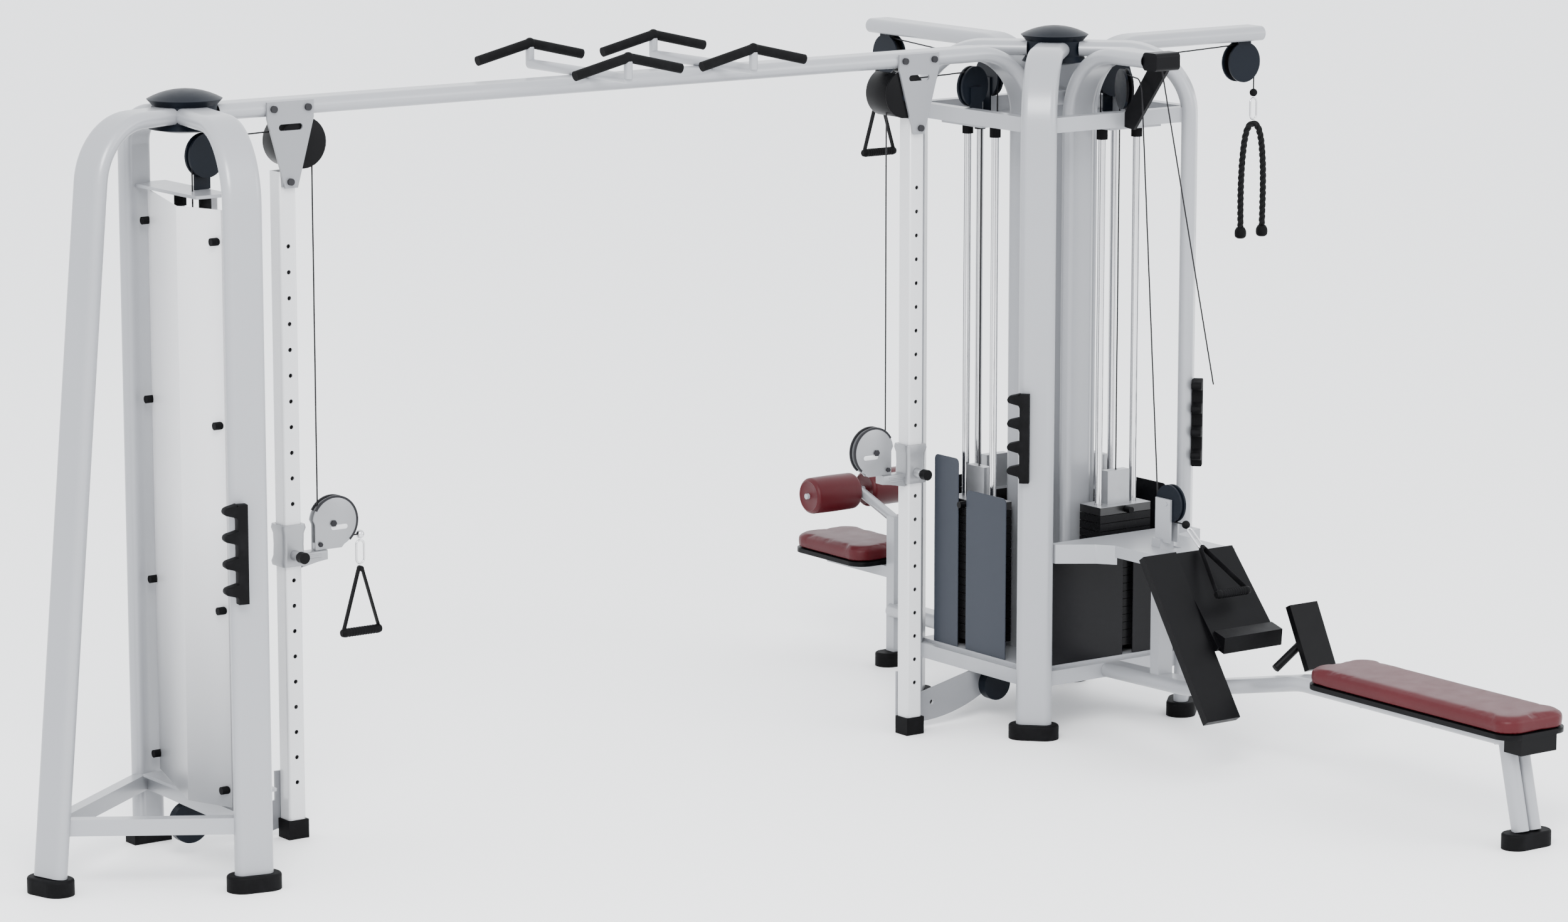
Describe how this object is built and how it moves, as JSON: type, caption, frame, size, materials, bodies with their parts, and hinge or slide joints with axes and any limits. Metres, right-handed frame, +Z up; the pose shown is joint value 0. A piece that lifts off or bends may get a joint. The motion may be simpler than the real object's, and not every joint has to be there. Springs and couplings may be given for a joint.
{
  "type": "multi-station cable machine",
  "caption": "Multi-station cable gym: four-legged core with row bench, pulldown seat and triceps arm, joined by a crossover beam to an outrigger tower with sliding pulley carriages.",
  "frame": {"origin": "on the floor, at the bottom centre of the machine's bounding box", "axes": "+X along the crossover beam from the tower to the core, +Y from the row bench towards the pulldown seat, +Z up"},
  "size_m": [4.9837, 3.76, 2.408],
  "materials": {
    "frame_paint": "silver-white powder coat, satin",
    "panel_white": "light grey-white, semi-gloss",
    "slate_plastic": "dark slate moulded plastic, matt",
    "black_plastic": "black moulded plastic, matt",
    "black_rubber": "black rubber",
    "chrome": "polished chrome",
    "steel": "satin steel",
    "cast_silver": "silver-painted casting, satin",
    "black_iron": "black-painted cast iron",
    "upholstery": "wine-red vinyl upholstery",
    "cable_black": "black nylon-coated steel cable",
    "rope_black": "black braided rope"
  },
  "bodies": {
    "frame": {"hub_caps": "slate_plastic", "core_legs": "frame_paint", "tower_leg_front": "frame_paint", "tower_leg_side": "frame_paint", "tower_rear_post": "frame_paint", "row_arm": "frame_paint", "triceps_arm": "frame_paint", "lat_arm": "frame_paint", "crossover_beam": "frame_paint", "grip_bars": "black_rubber", "base_frames": "frame_paint", "core_top_ring": "frame_paint", "weight_plates": "black_iron", "guide_rods": "chrome", "adjust_columns": "frame_paint", "column_brackets": "panel_white", "row_rail": "frame_paint", "row_shelf": "frame_paint", "row_footdeck": "black_plastic", "row_seat_pad": "upholstery", "lat_seat_pad": "upholstery", "seat_pans": "black_plastic", "lat_seat_frame": "frame_paint", "pulley_covers": "slate_plastic", "cables": "cable_black", "tower_shroud": "panel_white", "core_shrouds": "black_plastic", "accessory_racks": "black_plastic", "rubber_bumpers": "black_rubber", "fasteners": "steel", "feet": "black_rubber"},
    "tower_carriage": {"tower_carriage": "cast_silver"},
    "tower_swivel": {"tower_swivel": "cast_silver"},
    "tower_wheel": {"tower_wheel": "black_plastic"},
    "tower_pull_pin": {"tower_pull_pin": "black_plastic"},
    "core_carriage": {"core_carriage": "cast_silver"},
    "core_swivel": {"core_swivel": "cast_silver"},
    "core_wheel": {"core_wheel": "black_plastic"},
    "core_pull_pin": {"core_pull_pin": "black_plastic"},
    "tower_handle": {"tower_carabiner": "chrome", "tower_handle": "black_plastic"},
    "row_stack_head": {"row_stack_head": "black_iron"},
    "row_selector_pin": {"row_selector_pin": "black_plastic"},
    "crossover_stack_head": {"crossover_stack_head": "black_iron"},
    "crossover_selector_pin": {"crossover_selector_pin": "black_plastic"},
    "lat_stack_head": {"lat_stack_head": "black_iron"},
    "lat_selector_pin": {"lat_selector_pin": "black_plastic"},
    "triceps_stack_head": {"triceps_stack_head": "black_iron"},
    "triceps_selector_pin": {"triceps_selector_pin": "black_plastic"},
    "tower_stack_head": {"tower_stack_head": "black_iron"},
    "tower_selector_pin": {"tower_selector_pin": "black_plastic"},
    "triceps_wheel": {"triceps_wheel": "black_plastic"},
    "triceps_rope": {"triceps_carabiner": "chrome", "triceps_rope": "rope_black", "triceps_rope_ends": "black_rubber"},
    "lat_wheel": {"lat_wheel": "black_plastic"},
    "lat_handle": {"lat_handle": "black_plastic"},
    "row_wheel": {"row_wheel": "slate_plastic"},
    "row_handle": {"row_handle": "black_plastic"},
    "thigh_roller": {"thigh_roller": "upholstery"}
  },
  "joints": [
    {"name": "tower_carriage_slide", "type": "slide", "parent": "frame", "child": "tower_carriage", "axis": [0, 0, 1], "range_m": [-0.56, 0.88]},
    {"name": "tower_swivel_turn", "type": "hinge", "parent": "tower_carriage", "child": "tower_swivel", "pos_m": [-1.36465, 0.52, 0.93], "axis": [0, 0, 1], "range_deg": [-80, 80]},
    {"name": "tower_wheel_spin", "type": "hinge", "parent": "tower_swivel", "child": "tower_wheel", "pos_m": [-1.31665, 0.52, 0.98], "axis": [0, 1, 0], "continuous": true},
    {"name": "tower_pull_pin_slide", "type": "slide", "parent": "tower_carriage", "child": "tower_pull_pin", "axis": [0, -1, 0], "range_m": [-0.012, 0.004], "stiffness_N_per_m": 400, "springref_m": -0.012},
    {"name": "core_carriage_slide", "type": "slide", "parent": "frame", "child": "core_carriage", "axis": [0, 0, 1], "range_m": [-0.56, 0.88]},
    {"name": "core_swivel_turn", "type": "hinge", "parent": "core_carriage", "child": "core_swivel", "pos_m": [0.83535, 0.52, 0.93], "axis": [0, 0, 1], "range_deg": [-80, 80]},
    {"name": "core_wheel_spin", "type": "hinge", "parent": "core_swivel", "child": "core_wheel", "pos_m": [0.78735, 0.52, 0.98], "axis": [0, 1, 0], "continuous": true},
    {"name": "core_pull_pin_slide", "type": "slide", "parent": "core_carriage", "child": "core_pull_pin", "axis": [0, -1, 0], "range_m": [-0.012, 0.004], "stiffness_N_per_m": 400, "springref_m": -0.012},
    {"name": "tower_handle_swing", "type": "hinge", "parent": "tower_swivel", "child": "tower_handle", "pos_m": [-1.21265, 0.52, 0.932], "axis": [0, 1, 0], "range_deg": [-60, 8]},
    {"name": "row_stack_lift", "type": "slide", "parent": "frame", "child": "row_stack_head", "axis": [0, 0, 1], "range_m": [0, 0.9]},
    {"name": "row_pin_pull", "type": "slide", "parent": "row_stack_head", "child": "row_selector_pin", "axis": [0, -1, 0], "range_m": [0, 0.045]},
    {"name": "crossover_stack_lift", "type": "slide", "parent": "frame", "child": "crossover_stack_head", "axis": [0, 0, 1], "range_m": [0, 0.9]},
    {"name": "crossover_pin_pull", "type": "slide", "parent": "crossover_stack_head", "child": "crossover_selector_pin", "axis": [-1, 0, 0], "range_m": [0, 0.045]},
    {"name": "lat_stack_lift", "type": "slide", "parent": "frame", "child": "lat_stack_head", "axis": [0, 0, 1], "range_m": [0, 0.9]},
    {"name": "lat_pin_pull", "type": "slide", "parent": "lat_stack_head", "child": "lat_selector_pin", "axis": [0, 1, 0], "range_m": [0, 0.045]},
    {"name": "triceps_stack_lift", "type": "slide", "parent": "frame", "child": "triceps_stack_head", "axis": [0, 0, 1], "range_m": [0, 0.9]},
    {"name": "triceps_pin_pull", "type": "slide", "parent": "triceps_stack_head", "child": "triceps_selector_pin", "axis": [1, 0, 0], "range_m": [0, 0.045]},
    {"name": "tower_stack_lift", "type": "slide", "parent": "frame", "child": "tower_stack_head", "axis": [0, 0, 1], "range_m": [0, 0.9]},
    {"name": "tower_pin_pull", "type": "slide", "parent": "tower_stack_head", "child": "tower_selector_pin", "axis": [1, 0, 0], "range_m": [0, 0.045]},
    {"name": "triceps_wheel_spin", "type": "hinge", "parent": "frame", "child": "triceps_wheel", "pos_m": [2.39035, 0.54, 2.18592], "axis": [0, 1, 0], "continuous": true},
    {"name": "triceps_rope_swing", "type": "hinge", "parent": "frame", "child": "triceps_rope", "pos_m": [2.45035, 0.54, 2.075], "axis": [0, 1, 0], "range_deg": [-50, 50]},
    {"name": "lat_wheel_spin", "type": "hinge", "parent": "frame", "child": "lat_wheel", "pos_m": [1.56035, 1.465, 2.18594], "axis": [1, 0, 0], "continuous": true},
    {"name": "lat_handle_swing", "type": "hinge", "parent": "frame", "child": "lat_handle", "pos_m": [1.56035, 1.525, 2.12], "axis": [1, 0, 0], "range_deg": [-50, 50]},
    {"name": "row_wheel_spin", "type": "hinge", "parent": "frame", "child": "row_wheel", "pos_m": [1.56035, -0.1, 0.816], "axis": [1, 0, 0], "continuous": true},
    {"name": "row_handle_lift", "type": "hinge", "parent": "frame", "child": "row_handle", "pos_m": [1.56035, -0.178, 0.756], "axis": [-1, 0, 0], "range_deg": [0, 60]},
    {"name": "thigh_roller_spin", "type": "hinge", "parent": "frame", "child": "thigh_roller", "pos_m": [1.56035, 1.64, 0.6], "axis": [1, 0, 0], "continuous": true}
  ]
}
